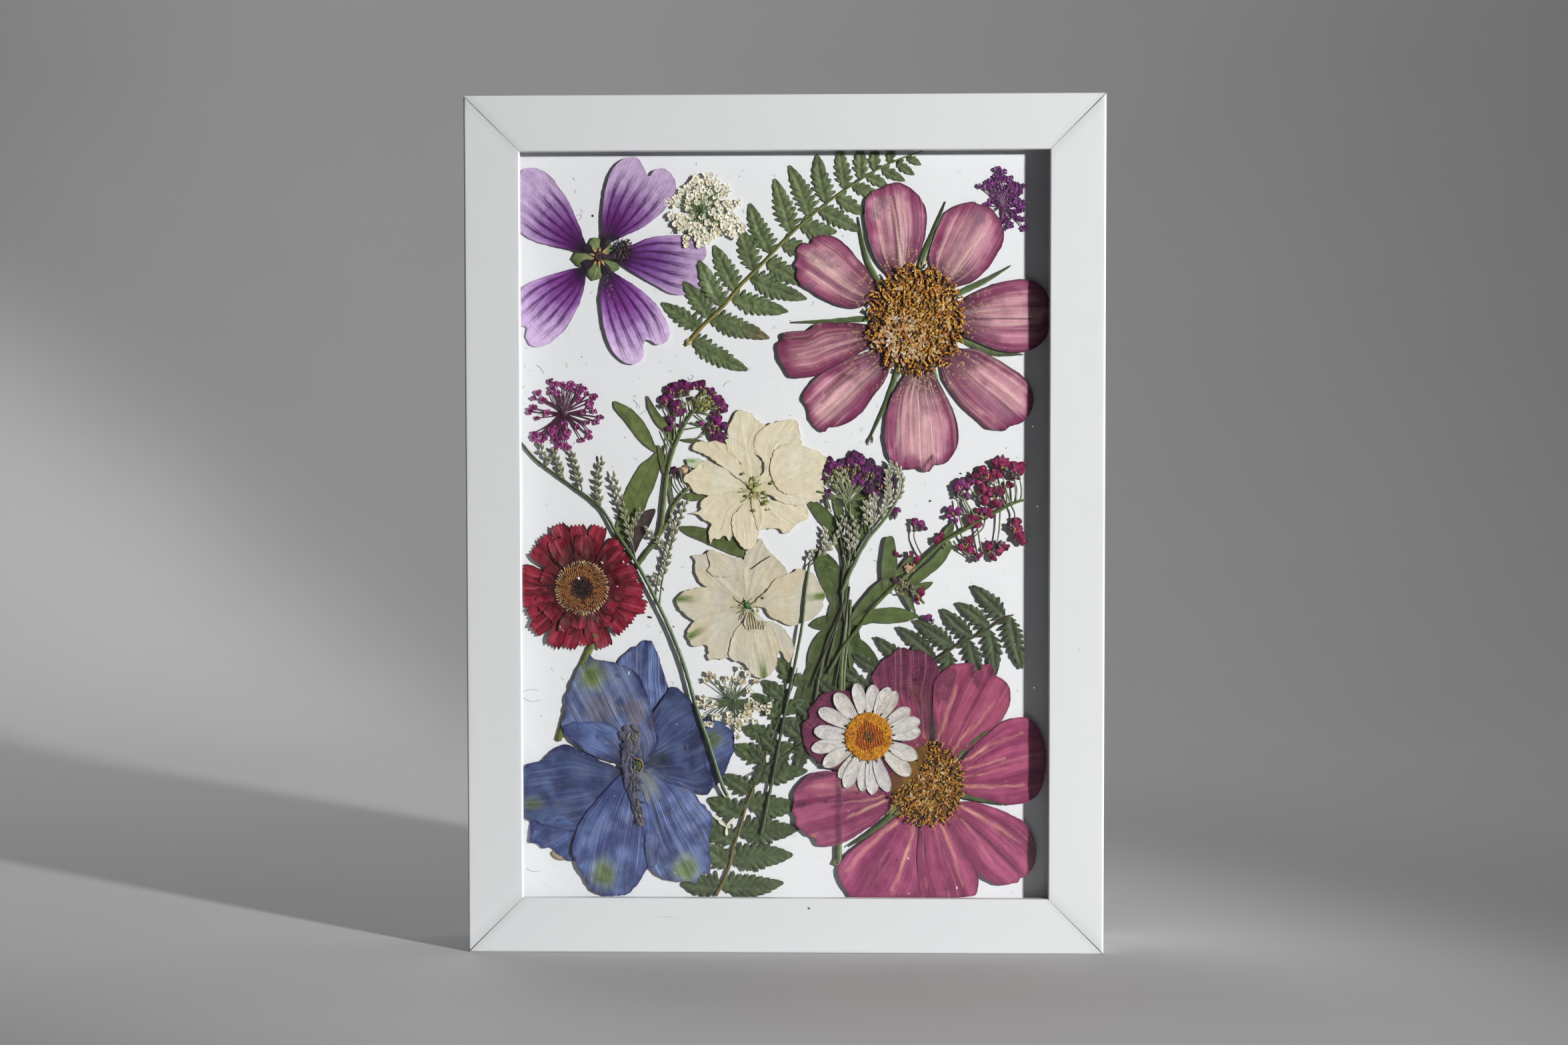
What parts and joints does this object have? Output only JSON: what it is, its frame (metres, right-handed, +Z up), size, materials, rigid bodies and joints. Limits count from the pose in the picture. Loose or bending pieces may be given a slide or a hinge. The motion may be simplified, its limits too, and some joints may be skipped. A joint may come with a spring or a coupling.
{
  "type": "pressed flower frame",
  "caption": "Small white picture frame that holds dried pressed flowers and ferns between a glass pane and a white card; stands on its edge or hangs from its back.",
  "frame": {"origin": "centre of the underside of the bottom rail, midway front to back", "axes": "+Z up along the height; -Y is the front, towards the viewer; +X to the viewer's right"},
  "size_m": [0.145, 0.0214, 0.195],
  "materials": {
    "white_foil": "wood core wrapped in satin white foil",
    "clear_glass": "clear float glass",
    "white_card": "smooth white card",
    "brown_board": "brown hardboard, matt",
    "steel": "zinc-plated steel",
    "mallow_petal": "pressed, dried petal, matt",
    "cosmos_upper_petal": "pressed, dried petal, matt",
    "cosmos_lower_petal": "pressed, dried petal, matt",
    "mallow_calyx": "pressed, dried plant, matt",
    "cosmos_upper_bracts": "pressed, dried plant, matt",
    "cosmos_upper_disc": "pressed, dried plant, matt",
    "cosmos_lower_bracts": "pressed, dried plant, matt",
    "cosmos_lower_disc": "pressed, dried plant, matt",
    "white_daisy": "pressed, dried plant, matt",
    "red_daisy": "pressed, dried plant, matt",
    "delphinium": "pressed, dried plant, matt",
    "larkspur_upper": "pressed, dried plant, matt",
    "larkspur_lower": "pressed, dried plant, matt",
    "umbel_white_upper": "pressed, dried plant, matt",
    "umbel_white_lower": "pressed, dried plant, matt",
    "umbel_purple_left": "pressed, dried plant, matt",
    "umbel_purple_corner": "pressed, dried plant, matt",
    "fern_upper": "pressed, dried plant, matt",
    "fern_lower": "pressed, dried plant, matt",
    "fern_right": "pressed, dried plant, matt",
    "alyssum_left": "pressed, dried plant, matt",
    "alyssum_middle": "pressed, dried plant, matt",
    "alyssum_right": "pressed, dried plant, matt",
    "statice_left": "pressed, dried plant, matt",
    "statice_middle": "pressed, dried plant, matt",
    "statice_right": "pressed, dried plant, matt"
  },
  "bodies": {
    "root": {"rail_top": "white_foil", "rail_bottom": "white_foil", "rail_left": "white_foil", "rail_right": "white_foil", "glass_pane": "clear_glass", "backing_card": "white_card", "back_board": "brown_board", "retainer_tab_1": "steel", "retainer_tab_2": "steel", "retainer_tab_3": "steel", "retainer_tab_4": "steel", "retainer_tab_5": "steel", "retainer_tab_6": "steel", "sawtooth_hanger": "steel", "hanger_nail_left": "steel", "hanger_nail_right": "steel", "mallow_petal_1": "mallow_petal", "mallow_petal_2": "mallow_petal", "mallow_petal_3": "mallow_petal", "mallow_petal_4": "mallow_petal", "mallow_petal_5": "mallow_petal", "cosmos_upper_petal_1": "cosmos_upper_petal", "cosmos_upper_petal_2": "cosmos_upper_petal", "cosmos_upper_petal_3": "cosmos_upper_petal", "cosmos_upper_petal_4": "cosmos_upper_petal", "cosmos_upper_petal_5": "cosmos_upper_petal", "cosmos_upper_petal_6": "cosmos_upper_petal", "cosmos_upper_petal_7": "cosmos_upper_petal", "cosmos_upper_petal_8": "cosmos_upper_petal", "cosmos_lower_petal_1": "cosmos_lower_petal", "cosmos_lower_petal_2": "cosmos_lower_petal", "cosmos_lower_petal_3": "cosmos_lower_petal", "cosmos_lower_petal_4": "cosmos_lower_petal", "cosmos_lower_petal_5": "cosmos_lower_petal", "cosmos_lower_petal_6": "cosmos_lower_petal", "cosmos_lower_petal_7": "cosmos_lower_petal", "cosmos_lower_petal_8": "cosmos_lower_petal", "mallow_calyx": "mallow_calyx", "cosmos_upper_bracts": "cosmos_upper_bracts", "cosmos_upper_disc": "cosmos_upper_disc", "cosmos_lower_bracts": "cosmos_lower_bracts", "cosmos_lower_disc": "cosmos_lower_disc", "white_daisy": "white_daisy", "red_daisy": "red_daisy", "delphinium": "delphinium", "larkspur_upper": "larkspur_upper", "larkspur_lower": "larkspur_lower", "umbel_white_upper": "umbel_white_upper", "umbel_white_lower": "umbel_white_lower", "umbel_purple_left": "umbel_purple_left", "umbel_purple_corner": "umbel_purple_corner", "fern_upper": "fern_upper", "fern_lower": "fern_lower", "fern_right": "fern_right", "alyssum_left": "alyssum_left", "alyssum_middle": "alyssum_middle", "alyssum_right": "alyssum_right", "statice_left": "statice_left", "statice_middle": "statice_middle", "statice_right": "statice_right"}
  },
  "joints": []
}
